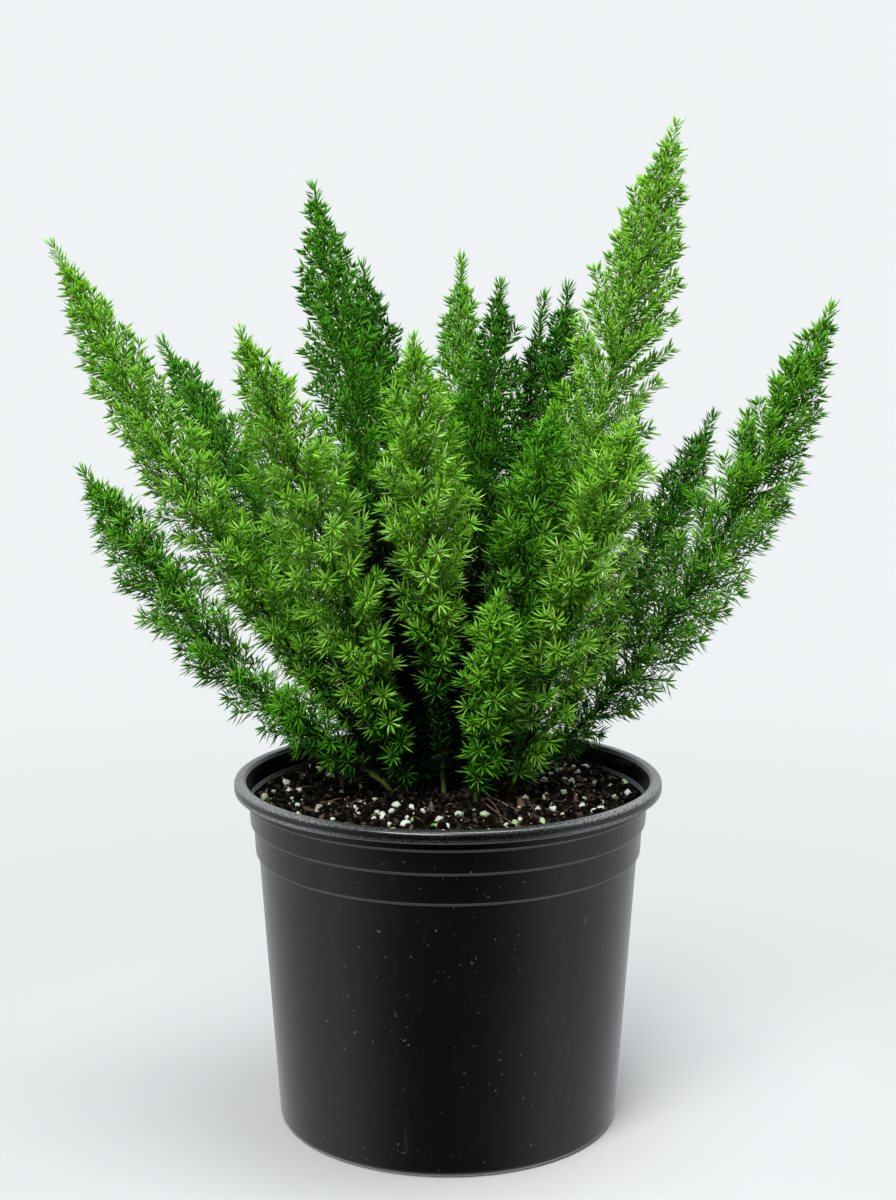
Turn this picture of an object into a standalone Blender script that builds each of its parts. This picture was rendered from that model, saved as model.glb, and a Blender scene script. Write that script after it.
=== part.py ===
"""A foxtail fern in a nursery pot: pot, soil, root crown, stems, and one foliage envelope on each stem.

Metres, +Z up. The origin is the middle of the pot's flat underside. -Y is the front, +X the right.
"""

import math

import bmesh
import bpy
import numpy as np
from mathutils import Vector

# ---- Pot ----
POT_HEIGHT = 0.182
RIM_RADIUS = 0.111          # outermost edge of the rolled rim
BASE_RADIUS = 0.0893        # outer wall at the underside
WALL = 0.0015
FLOOR = 0.0022
LIP_WIDTH = 0.0067          # from the rim's outer edge in to its mouth
LIP_DROP = 0.0060           # depth of the rolled rim's skirt
SOCKET_DEPTH = 0.0105       # the straight collar under the rim, where pots stack
BAND_1_DEPTH = 0.0228       # lower edge of the upper band, below the rim
BAND_2_DEPTH = 0.0384       # lower edge of the lower band, below the rim
BAND_STEP = 0.0025          # how far the wall steps in under each band
COLLAR_STEP = 0.0022        # how far the wall steps in under the collar
STEP_SLOPE = 0.0010         # height over which a step happens
CORNER_RADIUS = 0.0030      # round of the bottom corner
TURNED_SIDES = 40           # the same on the pot, the soil and the crown, so their flats line up
HOLE_COUNT = 6
HOLE_RADIUS = 0.0080
HOLE_RING_RADIUS = 0.058    # centres of the drain holes
HOLE_SIDES = 16

# ---- Soil and root crown ----
FIT_GAP = 0.0003            # between pieces that touch
HEADSPACE = 0.0130          # soil below the rim, at the wall
SOIL_MOUND = 0.0050         # rise of the soil from the wall to the crown
CROWN_DOME = 0.0030         # rise of the crown from its edge to its middle
CROWN_DEPTH = 0.030         # how deep the crown reaches into the soil
CROWN_MARGIN = 0.0060       # crown beyond the outermost stem
CROWN_TAPER = 0.75          # the crown's foot, as a share of its radius
STEM_SEAT = 0.0050          # how deep a stem sits in the crown's edge
SOCKET_OVERRUN = 0.0040     # sockets are cut this far past the top of the crown
SOIL_BULGE = 0.6            # share of the mound reached halfway from the wall to the crown

# ---- Stems ----
STEM_RADIUS = 0.0014        # at the foot
STEM_TIP_RADIUS = 0.0006
STEM_RESOLUTION = 1         # the curve's bevel resolution
STEM_SIDES = 4 + 2 * STEM_RESOLUTION
RISE = 0.020                # length over which a stem turns from upright to its lean
TIP_CLEARANCE = 0.010       # foliage beyond the stem's end

# ---- Foliage envelopes ----
FOLIAGE_SIDES = 8
FOLIAGE_GAP = 0.0025        # between one plume's envelope and its neighbour's, at least
GROUND_GAP = 0.0030         # between an envelope and the soil or the rim below it
BORE_WALL = 0.0012          # least thickness of an envelope round its stem
START_STEP = 0.002          # how far an envelope starts higher up each time it finds no room
# Share of the plume's radius along its leafy length, from the bottom to the tip
PLUME_PROFILE = (
    (0.00, 0.34), (0.07, 0.62), (0.16, 0.84), (0.28, 1.00), (0.42, 1.00),
    (0.57, 0.92), (0.72, 0.73), (0.85, 0.51), (0.95, 0.30),
)

# ---- Plumes ----
# name, foot x and y, azimuth (0 right, 90 back, 270 front), lean from upright at the foot and at the tip
# (degrees), length, width, bare length at the foot
PLUMES = (
    ("far_left",    -0.028,  0.002, 180, 42, 27, 0.334, 0.048, 0.030),
    ("low_left",    -0.030, -0.008, 184, 66, 33, 0.236, 0.044, 0.030),
    ("back_left",   -0.026,  0.014, 152, 32, 34, 0.278, 0.046, 0.030),
    ("front_left",  -0.020, -0.022, 226, 19, 27, 0.268, 0.056, 0.010),
    ("tall_left",   -0.014,  0.006, 152, 11, 12, 0.322, 0.054, 0.030),
    ("rear_left",   -0.010,  0.020, 121, 17, 14, 0.285, 0.050, 0.030),
    ("far_back",     0.004,  0.036,  88, 28, 18, 0.300, 0.040, 0.060),
    ("front_mid",   -0.002, -0.022, 255, 12, 14, 0.248, 0.054, 0.016),
    ("mid_right",    0.008,  0.010,  62, 10,  9, 0.270, 0.046, 0.030),
    ("slim_right",   0.014,  0.026,  54, 18, 13, 0.268, 0.030, 0.050),
    ("tall_right",   0.024,  0.002,   8, 18, 14, 0.358, 0.058, 0.026),
    ("rear_right",   0.024,  0.018,  50, 18, 12, 0.272, 0.048, 0.030),
    ("far_right",    0.036,  0.002, 358, 56, 22, 0.304, 0.052, 0.026),
    ("small_right",  0.034,  0.014,  30, 50, 28, 0.236, 0.036, 0.040),
    ("front_right",  0.032, -0.016, 324, 24, 18, 0.212, 0.058, 0.012),
    ("inner_right",  0.016, -0.012, 328, 13, 12, 0.212, 0.048, 0.016),
    ("short_front",  0.014, -0.034, 290, 26, 12, 0.122, 0.036, 0.010),
    ("low_side",    -0.028, -0.020, 200, 62, 44, 0.090, 0.034, 0.024),
    ("back_slant",  -0.006,  0.040, 112, 60, 36, 0.225, 0.046, 0.030),
    ("back_right",   0.022,  0.036,  62, 58, 34, 0.230, 0.046, 0.030),
    ("back_mid",     0.010,  0.046,  88, 40, 26, 0.240, 0.046, 0.030),
    ("back_side",   -0.024,  0.028, 140, 62, 38, 0.205, 0.042, 0.030),
)
NAME, FOOT_X, FOOT_Y, AZIMUTH, LEAN_FOOT, LEAN_TIP, LENGTH, WIDTH, BARE = range(9)

# ---- What follows from these ----
SOIL_EDGE_Z = POT_HEIGHT - HEADSPACE
CROWN_EDGE_Z = SOIL_EDGE_Z + SOIL_MOUND
CROWN_TOP_Z = CROWN_EDGE_Z + CROWN_DOME
FOOT_Z = CROWN_EDGE_Z - STEM_SEAT
CROWN_RADIUS = max(math.hypot(row[FOOT_X], row[FOOT_Y]) for row in PLUMES) + STEM_RADIUS + CROWN_MARGIN

AXIS_SAMPLES = 49           # points that stand for a stem's line when distances are measured
SEARCH_STEPS = 60           # steps outwards when an envelope looks for its limit
MERGE = 0.00001


def new_collection(name):
    collection = bpy.data.collections.new(name)
    bpy.context.scene.collection.children.link(collection)
    return collection


def material(name, colour, roughness):
    finish = bpy.data.materials.new(name)
    finish.use_nodes = True
    shader = finish.node_tree.nodes["Principled BSDF"]
    shader.inputs["Base Color"].default_value = (*colour, 1.0)
    shader.inputs["Roughness"].default_value = roughness
    return finish


def add_object(name, data, collection, finish=None):
    piece = bpy.data.objects.new(name, data)
    collection.objects.link(piece)
    if finish:
        data.materials.append(finish)
    return piece


def as_cutter(piece):
    piece.hide_render = True
    piece.display_type = "WIRE"
    return piece


def turned(name, profile, collection, finish):
    """A solid of revolution: the profile starts and ends on the axis and runs down its outer side."""
    mesh = bpy.data.meshes.new(name)
    points = [(radius, 0.0, height) for radius, height in profile]
    mesh.from_pydata(points, [(i, i + 1) for i in range(len(points) - 1)], [])
    piece = add_object(name, mesh, collection, finish)
    screw = piece.modifiers.new("turn", "SCREW")
    screw.axis = "Z"
    screw.steps = TURNED_SIDES
    screw.render_steps = TURNED_SIDES
    screw.use_merge_vertices = True
    screw.merge_threshold = MERGE
    screw.use_smooth_shade = True
    return piece


def cut(piece, cutter):
    boolean = piece.modifiers.new("cut", "BOOLEAN")
    boolean.operation = "DIFFERENCE"
    boolean.solver = "EXACT"
    boolean.object = cutter


# ---- Pot ----

def arc(centre, radius, start, end, count):
    """Points of an arc in the profile's plane; angles in degrees from outward, upward positive."""
    angles = np.radians(np.linspace(start, end, count))
    return [(centre[0] + radius * math.cos(a), centre[1] + radius * math.sin(a)) for a in angles]


def wall_steps():
    """Outer wall below the rim, top to bottom: collar, neck, two bands and the tapering body."""
    collar = RIM_RADIUS - LIP_WIDTH + WALL
    neck = collar - COLLAR_STEP
    band = neck - BAND_STEP
    body = band - BAND_STEP
    top = POT_HEIGHT
    return [
        (collar, top - SOCKET_DEPTH),
        (neck, top - SOCKET_DEPTH - STEP_SLOPE),
        (neck - BAND_STEP / 3, top - BAND_1_DEPTH),
        (band, top - BAND_1_DEPTH - STEP_SLOPE),
        (band - BAND_STEP / 3, top - BAND_2_DEPTH),
        (body, top - BAND_2_DEPTH - STEP_SLOPE),
    ]


def inner_wall():
    """Inner wall from the mouth down to the floor's corner, one wall thickness inside the outer wall."""
    mouth = RIM_RADIUS - LIP_WIDTH
    steps = [(radius - WALL, height - WALL / 2) for radius, height in wall_steps()]
    floor_radius = BASE_RADIUS - WALL
    return [(mouth, POT_HEIGHT - LIP_WIDTH / 3)] + steps + [(floor_radius, FLOOR + CORNER_RADIUS)]


def rim_profile():
    """The rolled rim, from the mouth over the crest, down the skirt and back up to the collar."""
    top = POT_HEIGHT
    mouth = RIM_RADIUS - LIP_WIDTH
    crest_radius = LIP_WIDTH / 3
    over = arc((mouth + crest_radius, top - crest_radius), crest_radius, 180, 90, 4)
    down = arc((RIM_RADIUS - crest_radius, top - crest_radius), crest_radius, 80, 10, 4)
    collar = mouth + WALL
    inside = RIM_RADIUS - WALL
    under = top - crest_radius - WALL / 2
    lip = top - LIP_DROP
    return over + down + [
        (RIM_RADIUS, lip + WALL / 2),
        (RIM_RADIUS - WALL / 4, lip),
        (inside, lip),
        (inside - WALL / 4, under - WALL / 2),
        (inside - WALL, under),
        (collar + WALL / 2, under),
        (collar, under - WALL / 2),
    ]


def drain_cutter(collection):
    """All the drain holes as one cutter."""
    shape = bmesh.new()
    for index in range(HOLE_COUNT):
        angle = 2 * math.pi * (index + 0.5) / HOLE_COUNT
        made = bmesh.ops.create_cone(
            shape, cap_ends=True, segments=HOLE_SIDES, radius1=HOLE_RADIUS, radius2=HOLE_RADIUS, depth=4 * FLOOR)
        place = Vector((HOLE_RING_RADIUS * math.cos(angle), HOLE_RING_RADIUS * math.sin(angle), FLOOR / 2))
        bmesh.ops.translate(shape, vec=place, verts=made["verts"])
    mesh = bpy.data.meshes.new("drain_holes")
    shape.to_mesh(mesh)
    shape.free()
    return as_cutter(add_object("drain_holes", mesh, collection))


def make_pot(parts, cutters):
    finish = material("black_plastic", (0.012, 0.012, 0.013), 0.38)
    floor_radius = BASE_RADIUS - WALL - CORNER_RADIUS
    inside = [(0.0, FLOOR), (floor_radius, FLOOR)] + inner_wall()[::-1]
    corner_centre = (BASE_RADIUS - CORNER_RADIUS, CORNER_RADIUS)
    outside = wall_steps() + arc(corner_centre, CORNER_RADIUS, 0, -90, 4) + [(0.0, 0.0)]
    pot = turned("nursery_pot", inside + rim_profile() + outside, parts, finish)
    cut(pot, drain_cutter(cutters))
    return pot


# ---- Soil and crown ----

def make_soil(parts):
    """Potting mix that fills the pot to its headspace, with a pocket for the crown."""
    finish = material("peat", (0.020, 0.013, 0.009), 0.95)
    pocket = CROWN_RADIUS + FIT_GAP
    pocket_z = CROWN_EDGE_Z - CROWN_DEPTH - FIT_GAP
    wall = inner_wall()
    radii = [radius for radius, height in wall][::-1]
    heights = [height for radius, height in wall][::-1]
    edge = float(np.interp(SOIL_EDGE_Z, heights, radii)) - FIT_GAP
    side = [(radius - FIT_GAP, height) for radius, height in wall if height < SOIL_EDGE_Z - MERGE]
    bottom = BASE_RADIUS - WALL - CORNER_RADIUS - FIT_GAP
    halfway = ((pocket + edge) / 2, SOIL_EDGE_Z + SOIL_MOUND * SOIL_BULGE)
    profile = [(0.0, pocket_z), (pocket, pocket_z), (pocket, CROWN_EDGE_Z), halfway, (edge, SOIL_EDGE_Z)]
    profile += side + [(bottom, FLOOR + FIT_GAP), (0.0, FLOOR + FIT_GAP)]
    return turned("potting_soil", profile, parts, finish)


def make_crown(parts, cutters, lines, corners):
    """The woody crown that all the stems rise from, with a socket for each."""
    finish = material("crown_bark", (0.050, 0.035, 0.022), 0.85)
    steps = np.linspace(0.0, 1.0, 5)
    dome = [(CROWN_RADIUS * t, CROWN_TOP_Z - CROWN_DOME * t * t) for t in steps]
    low = CROWN_EDGE_Z - CROWN_DEPTH
    profile = dome + [(CROWN_RADIUS, CROWN_EDGE_Z - CROWN_DEPTH / 2), (CROWN_RADIUS * CROWN_TAPER, low), (0.0, low)]
    crown = turned("root_crown", profile, parts, finish)
    cut(crown, socket_cutter(cutters, lines, corners))
    return crown


# ---- Stem lines ----

def lean_at(row, distance):
    """Lean from upright: none at the foot, then the foot's lean, easing to the tip's."""
    t = np.clip(distance / row[LENGTH], 0.0, 1.0)
    start = np.clip(distance / RISE, 0.0, 1.0)
    eased = start * start * (3.0 - 2.0 * start)
    return np.radians((row[LEAN_TIP] + (row[LEAN_FOOT] - row[LEAN_TIP]) * (1.0 - t) ** 2) * eased)


class StemLine:
    """A stem's centre line: one smooth curve in an upright plane."""

    SLICES = 400

    def __init__(self, row):
        self.row = row
        azimuth = math.radians(row[AZIMUTH])
        self.outward = np.array((math.cos(azimuth), math.sin(azimuth), 0.0))
        self.across = np.array((-math.sin(azimuth), math.cos(azimuth), 0.0))
        self.distances = np.linspace(0.0, row[LENGTH], self.SLICES)
        step = row[LENGTH] / (self.SLICES - 1)
        middles = self.distances[:-1] + step / 2
        foot = np.array((row[FOOT_X], row[FOOT_Y], FOOT_Z))
        self.points = foot + np.vstack((np.zeros(3), np.cumsum(self.direction(middles) * step, axis=0)))

    def direction(self, distance):
        lean = np.atleast_1d(lean_at(self.row, distance))
        return np.outer(np.sin(lean), self.outward) + np.outer(np.cos(lean), (0.0, 0.0, 1.0))

    def point(self, distance):
        past_end = max(0.0, distance - self.row[LENGTH])
        place = np.array([np.interp(distance, self.distances, self.points[:, k]) for k in range(3)])
        return place + self.direction(distance)[0] * past_end

    def ring(self, distance, radii):
        """Points round the line, square to it."""
        angles = 2 * math.pi * np.arange(len(radii)) / len(radii)
        along = self.direction(distance)[0]
        beside = np.cross(along, self.across)
        rays = np.outer(np.cos(angles), self.across) + np.outer(np.sin(angles), beside)
        return self.point(distance) + rays * np.asarray(radii)[:, None]

    def samples(self):
        return self.points[:: self.SLICES // AXIS_SAMPLES]


def stem_length(row):
    return row[LENGTH] - TIP_CLEARANCE


def stem_radius(row, distance):
    t = np.clip(distance / stem_length(row), 0.0, 1.0)
    return STEM_RADIUS + (STEM_TIP_RADIUS - STEM_RADIUS) * t


# ---- Foliage limits ----

def distance_to_line(points, line):
    """Least distance from each point to a line of samples."""
    start, end = line[:-1], line[1:]
    run = end - start
    share = np.einsum("pij,ij->pi", points[:, None] - start[None], run) / np.einsum("ij,ij->i", run, run)
    nearest = start[None] + np.clip(share, 0.0, 1.0)[..., None] * run[None]
    return np.linalg.norm(points[:, None] - nearest, axis=2).min(axis=1)


def ground_height(points):
    """What lies below each point: the soil and crown inside the pot, the rim over its wall, nothing beyond."""
    radius = np.hypot(points[:, 0], points[:, 1])
    over_rim = np.abs(radius - (RIM_RADIUS - LIP_WIDTH / 2)) < LIP_WIDTH
    beyond = radius > RIM_RADIUS + LIP_WIDTH / 2
    height = np.where(over_rim, POT_HEIGHT, CROWN_TOP_Z)
    return np.where(beyond, 0.0, height)


def envelope_radii(line, lines, distance, wanted):
    """How far the envelope may reach in each direction: its own radius, or where a neighbour's space begins."""
    unit = line.ring(distance, np.ones(FOLIAGE_SIDES)) - line.point(distance)
    steps = np.linspace(1.0 / SEARCH_STEPS, 1.0, SEARCH_STEPS) * wanted
    spots = line.point(distance) + unit[:, None, :] * steps[None, :, None]
    flat = spots.reshape(-1, 3)
    own = distance_to_line(flat, line.samples())
    free = flat[:, 2] > ground_height(flat) + GROUND_GAP
    for other in lines:
        if other is not line:
            free &= distance_to_line(flat, other.samples()) > own + FOLIAGE_GAP
    free = free.reshape(FOLIAGE_SIDES, SEARCH_STEPS)
    reach = np.cumprod(free, axis=1).sum(axis=1)
    return np.where(reach > 0, steps[np.maximum(reach, 1) - 1], 0.0)


def bore_radius(row, distance):
    """Circumscribed radius of the bore, so that the stem's corners keep the gap from its flats."""
    return (stem_radius(row, distance) + FIT_GAP) / math.cos(math.pi / STEM_SIDES)


def foliage_stations(line, lines):
    """Distances along the stem where the envelope has a ring, with the ring's radii."""
    row = line.row
    least = bore_radius(row, 0.0) + BORE_WALL
    start = row[BARE]
    while envelope_radii(line, lines, start, least + START_STEP).min() < least:
        start += START_STEP
    leafy = row[LENGTH] - start
    stations = []
    for share, size in PLUME_PROFILE:
        distance = start + share * leafy
        radii = envelope_radii(line, lines, distance, max(size * row[WIDTH] / 2, least))
        stations.append((distance, np.maximum(radii, least)))
    return stations


# ---- Stems and foliage ----

def stem_corners(line, stations):
    """Where a stem has its corners: at its foot, through its first bend, then where its envelope has rings."""
    first = stations[0][0]
    foot = [0.0] + [share * min(first, RISE) for share in (0.30, 0.55, 0.80)]
    last = stem_length(line.row)
    leafy = [distance for distance, radii in stations if distance < last - TIP_CLEARANCE / 4]
    between = [(RISE + first) / 2] if first > 2 * RISE else []
    return foot + between + leafy + [last]


def tube(name, line, distances, radius_at, collection):
    """A round rod along a stem's line, made a mesh."""
    curve = bpy.data.curves.new(name, "CURVE")
    curve.dimensions = "3D"
    curve.bevel_depth = 1.0
    curve.bevel_resolution = STEM_RESOLUTION
    curve.use_fill_caps = True
    spline = curve.splines.new("POLY")
    spline.points.add(len(distances) - 1)
    for point, distance in zip(spline.points, distances):
        point.co = (*line.point(distance), 1.0)
        point.radius = radius_at(distance)
    rod = bpy.data.objects.new(name, curve)
    collection.objects.link(rod)
    return rod


def solid_of(rod):
    """The rod's evaluated mesh with its caps welded on; the curve is removed."""
    bpy.context.view_layer.update()
    evaluated = rod.evaluated_get(bpy.context.evaluated_depsgraph_get())
    mesh = bpy.data.meshes.new_from_object(evaluated)
    shape = bmesh.new()
    shape.from_mesh(mesh)
    bmesh.ops.remove_doubles(shape, verts=shape.verts, dist=MERGE)
    shape.to_mesh(mesh)
    shape.free()
    bpy.data.objects.remove(rod)
    return mesh


def make_stem(line, corners, parts, finish):
    rod = tube("stem_" + line.row[NAME], line, corners, lambda distance: stem_radius(line.row, distance), parts)
    rod.data.materials.append(finish)
    return rod


def socket_cutter(cutters, lines, corners):
    """The stems' feet, each a fit gap larger, as one cutter that runs past the top of the crown."""
    reach = STEM_SEAT + CROWN_DOME + SOCKET_OVERRUN
    shape = bmesh.new()
    for line, own in zip(lines, corners):
        beyond = min(distance for distance in own if distance > reach)
        distances = [-FIT_GAP] + [distance for distance in own if distance <= beyond]
        rod = tube("socket", line, distances, lambda distance: bore_radius(line.row, 0.0), cutters)
        rod.data.splines[0].points[0].co = (*(line.point(0.0) - np.array((0.0, 0.0, FIT_GAP))), 1.0)
        mesh = solid_of(rod)
        shape.from_mesh(mesh)
        bpy.data.meshes.remove(mesh)
    joined = bpy.data.meshes.new("stem_sockets")
    shape.to_mesh(joined)
    shape.free()
    return as_cutter(add_object("stem_sockets", joined, cutters))


def skin(shape, rings, outward):
    """Quads between neighbouring rings, facing out or in."""
    for low, high in zip(rings[:-1], rings[1:]):
        count = len(low)
        for k in range(count):
            n = (k + 1) % count
            corners = (low[k], low[n], high[n], high[k])
            shape.faces.new(corners if outward else corners[::-1])


def make_foliage(line, stations, parts, finish):
    """A closed sleeve round the stem: an outer skin that narrows to a point, and a bore open at the bottom."""
    row = line.row
    shape = bmesh.new()
    outer = [[shape.verts.new(p) for p in line.ring(distance, radii)] for distance, radii in stations]
    skin(shape, outer, True)
    tip = shape.verts.new(line.point(row[LENGTH]))
    for k in range(FOLIAGE_SIDES):
        shape.faces.new((outer[-1][k], outer[-1][(k + 1) % FOLIAGE_SIDES], tip))

    last = stem_length(row)
    inside = [distance for distance, radii in stations if distance < last - TIP_CLEARANCE / 4]
    bores = [(distance, bore_radius(row, distance)) for distance in inside + [last + FIT_GAP]]
    bore = [[shape.verts.new(p) for p in line.ring(distance, [radius] * STEM_SIDES)] for distance, radius in bores]
    skin(shape, bore, False)
    end = shape.verts.new(line.point(last + 2 * FIT_GAP))
    for k in range(STEM_SIDES):
        shape.faces.new((bore[-1][(k + 1) % STEM_SIDES], bore[-1][k], end))

    edges = [shape.edges.get((ring[k], ring[(k + 1) % len(ring)])) for ring in (outer[0], bore[0])
             for k in range(len(ring))]
    bmesh.ops.bridge_loops(shape, edges=edges)
    bmesh.ops.recalc_face_normals(shape, faces=shape.faces)
    mesh = bpy.data.meshes.new("foliage_" + row[NAME])
    shape.to_mesh(mesh)
    shape.free()
    mesh.shade_smooth()
    return add_object(mesh.name, mesh, parts, finish)


def main():
    for piece in list(bpy.data.objects):
        bpy.data.objects.remove(piece)
    parts = new_collection("potted_foxtail_fern")
    cutters = new_collection("cutters")
    lines = [StemLine(row) for row in PLUMES]
    rings = [foliage_stations(line, lines) for line in lines]
    corners = [stem_corners(line, stations) for line, stations in zip(lines, rings)]
    make_pot(parts, cutters)
    make_soil(parts)
    make_crown(parts, cutters, lines, corners)
    bark = material("stem_green", (0.090, 0.140, 0.035), 0.6)
    leaf = material("needle_green", (0.060, 0.220, 0.020), 0.5)
    for line, stations, own in zip(lines, rings, corners):
        make_stem(line, own, parts, bark)
        make_foliage(line, stations, parts, leaf)


main()
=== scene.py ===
"""Looks of the potted foxtail fern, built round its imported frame.

Each plume's foliage solid becomes side shoots with separate needles, each stem a smooth stalk, the soil a bed
of crumbs, bark, fibres and perlite, and the pot a finely turned one. Metres, +Z up, -Y the front.
"""

import math

import bmesh
import bpy
import numpy as np
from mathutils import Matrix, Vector, noise


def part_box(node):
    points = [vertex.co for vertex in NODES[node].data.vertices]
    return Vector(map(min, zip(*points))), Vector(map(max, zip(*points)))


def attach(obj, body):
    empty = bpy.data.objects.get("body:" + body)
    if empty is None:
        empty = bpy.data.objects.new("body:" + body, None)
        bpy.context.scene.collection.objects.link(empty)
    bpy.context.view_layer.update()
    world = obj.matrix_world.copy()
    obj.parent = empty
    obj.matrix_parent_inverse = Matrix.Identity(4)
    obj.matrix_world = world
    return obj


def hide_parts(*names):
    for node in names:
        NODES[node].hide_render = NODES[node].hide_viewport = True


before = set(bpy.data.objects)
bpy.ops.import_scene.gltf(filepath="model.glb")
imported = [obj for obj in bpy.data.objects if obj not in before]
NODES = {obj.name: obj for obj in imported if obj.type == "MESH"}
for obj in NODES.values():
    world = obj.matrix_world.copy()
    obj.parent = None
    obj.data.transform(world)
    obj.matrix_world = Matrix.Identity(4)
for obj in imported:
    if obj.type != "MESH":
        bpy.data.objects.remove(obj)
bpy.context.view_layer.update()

BODY = "root"
PLUMES = sorted(name[len("foliage_"):] for name in NODES if name.startswith("foliage_"))

# ---- Sizes ----
POT_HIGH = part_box("nursery_pot")[1]
RIM_Z = POT_HIGH[2]
RIM_RADIUS = POT_HIGH[0]
SOIL_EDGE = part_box("potting_soil")[1][0]    # the soil's radius at the wall
CROWN_LOW, CROWN_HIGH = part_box("root_crown")
CROWN_RADIUS = CROWN_HIGH[0]

MM = 0.001
NEEDLE_LENGTH = 8.8 * MM
NEEDLE_WIDTH = 1.05 * MM
NEEDLE_THICKNESS = 0.55 * MM
SHOOT_SPACING = 1.85 * MM       # between side shoots along a stem
WHORL_SPACING = 2.6 * MM        # between whorls of needles along a side shoot
STEM_WHORL_SPACING = 1.7 * MM   # between whorls of needles on the stem itself
SHOOT_RADIUS = 0.38 * MM
SHOOT_POINTS = 5                # along a side shoot's line
SHORTEST_SHOOT = 2.5 * MM
OPEN_ANGLE = 60                 # between stem and side shoot at the plume's foot, in degrees
OPEN_DROP = 20                  # how much it closes up to the tip
SHOOTS_END = 0.96               # share of the leafy length that side shoots fill
STEM_WHORLS_END = 0.985         # share that needles on the stem itself fill
DARK_SHORTENS = 0.72            # share of its length that a side shoot loses in the plant's dark middle
STALK_RADII = (1.45 * MM, 0.5 * MM)     # at the stem's foot and at its top
STALK_END = 9 * MM              # how far below the plume's tip the stalk ends
FEATHER_HEIGHT = 0.205          # above the rim, where side shoots have become narrow feathers
STAR_FADE = 0.085               # how far below that they are still open stars
# How far short of the foliage's skin a side shoot ends, in millimetres, at shares of the way up
SPARE_AT = (0.0, 0.25, 0.5, 0.8, 1.0)
SPARE = (11.0, 8.8, 4.6, 3.4, 6.2)
GOLDEN_ANGLE = math.radians(137.5)

# For each plume, how pale its needles are painted (1 is the palest, yellowest green, 0 the darkest): partly
# the age of its growth, partly painted light and shade for how well the plume is lit; and how full its lowest
# side shoots are
PLUME_LOOKS = {
    "far_left": (0.74, 0.9), "low_left": (0.50, 0.9), "back_left": (0.42, 0.9),
    "front_left": (0.76, 0.9), "tall_left": (0.44, 0.7), "rear_left": (0.34, 0.7),
    "far_back": (0.62, 0.6), "front_mid": (0.80, 0.30), "mid_right": (0.33, 0.6),
    "slim_right": (0.27, 0.6), "tall_right": (0.84, 0.8), "rear_right": (0.30, 0.7),
    "far_right": (0.58, 0.9), "small_right": (0.42, 0.9), "front_right": (0.75, 0.9),
    "inner_right": (0.50, 0.7), "short_front": (0.58, 0.9), "low_side": (0.40, 0.9),
    "back_slant": (0.50, 0.9), "back_right": (0.46, 0.9), "back_mid": (0.55, 0.9),
    "back_side": (0.48, 0.9),
}
# Painted shade: needles in the plant's middle are painted darker, on top of the real shade there
HEART = (-0.004, 0.012)     # where the plant's dark middle is, seen from above
HEART_LEAN = -0.20          # how far it shifts sideways as it rises
HEART_RADIUS = 60 * MM
HEART_HEIGHT = 170 * MM     # above the crown, where the dark middle ends
INNER_COUNT = 1400          # whorls of dark needles in the middle, painted near-black as shade
INNER_RADIUS = 40 * MM
INNER_HEIGHTS = (3.0, 112.0)    # above the crown, in millimetres


# ---- Shader expressions ----

class Wire:
    """A shader socket that Python's operators work on: each one adds a Math node."""

    def __init__(self, paint, socket):
        self.paint = paint
        self.socket = socket

    def maths(self, operation, *others):
        return self.paint.node("ShaderNodeMath", {"operation": operation}, dict(enumerate((self, *others))))

    def __add__(self, other):
        return self.maths("ADD", other)

    def __mul__(self, other):
        return self.maths("MULTIPLY", other)

    def __sub__(self, other):
        return self.maths("SUBTRACT", other)

    def __rsub__(self, other):
        return self * -1 + other

    def __truediv__(self, other):
        return self.maths("DIVIDE", other)

    __radd__ = __add__
    __rmul__ = __mul__

    def smooth(self, low, high):
        """0 below low, 1 above high, eased between."""
        return self.paint.node(
            "ShaderNodeMapRange", {"interpolation_type": "SMOOTHSTEP"},
            {"Value": self, "From Min": low, "From Max": high})

    def belt(self, *edges):
        """1 between the two middle edges, eased to 0 at the outer two."""
        return self.smooth(*edges[:2]) * (1.0 - self.smooth(*edges[2:]))

    def clamped(self):
        return self.paint.node("ShaderNodeClamp", {}, {0: self})

    def other(self, index):
        """Another output of the same node."""
        return Wire(self.paint, self.socket.node.outputs[index])


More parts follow.
